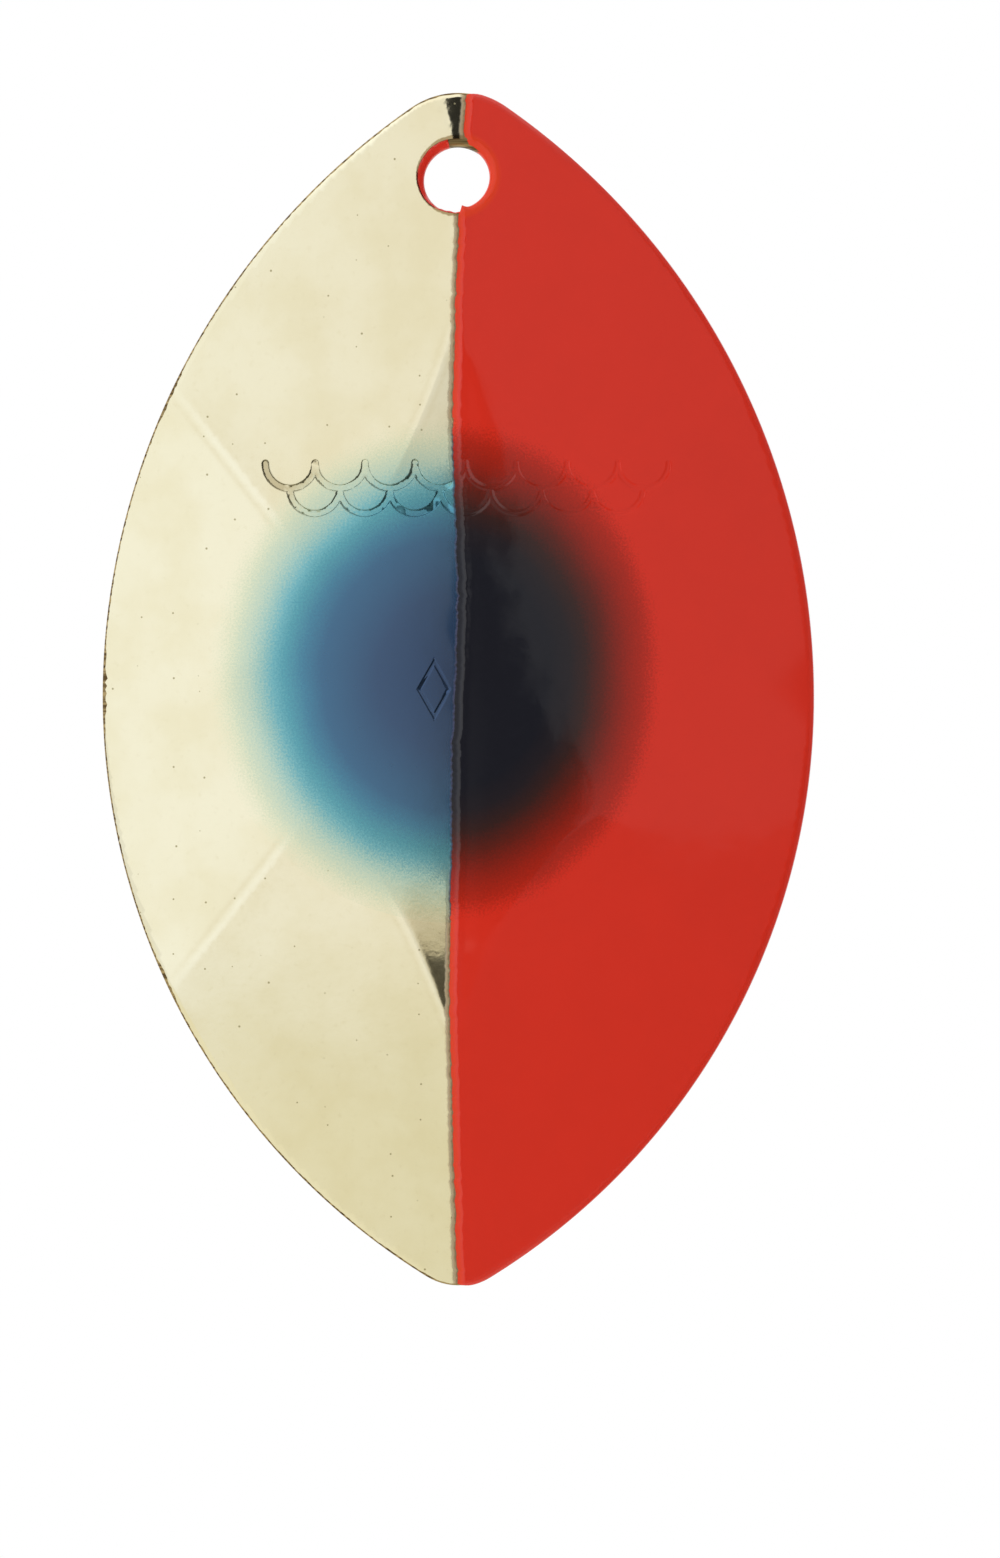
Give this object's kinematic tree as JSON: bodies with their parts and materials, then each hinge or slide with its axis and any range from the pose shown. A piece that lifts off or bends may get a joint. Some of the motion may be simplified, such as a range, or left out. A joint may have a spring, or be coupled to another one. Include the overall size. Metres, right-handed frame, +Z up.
{
  "type": "spinner blade",
  "caption": "Faceted, dished pointed-oval metal blade with an eye hole at one end, half gold-plated and half red-enamelled, with a sprayed dark blue spot across the middle.",
  "frame": {"origin": "centre of the eye hole, in the middle of the sheet", "axes": "+Z up along the blade from the eye hole (the blade hangs below it), +X towards the enamelled half, -Y out of the convex front"},
  "size_m": [0.0383, 0.0054, 0.0642],
  "materials": {
    "brass_sheet": "stamped brass sheet, bare and slightly tarnished at its cut edge and eye hole",
    "gold_plate": "pale gold plating, bright, with fine specks",
    "gold_plate_back": "pale gold plating on the concave back, bright with soft tool marks",
    "red_enamel": "glossy opaque red enamel film",
    "blue_lacquer": "sprayed translucent blue lacquer, blue over the plating and nearly black over the enamel, fading to a speckled edge"
  },
  "bodies": {
    "root": {"blade_blank": "brass_sheet", "plating_front": "gold_plate", "plating_back": "gold_plate_back", "red_enamel": "red_enamel", "spot_lacquer": "blue_lacquer"}
  },
  "joints": []
}
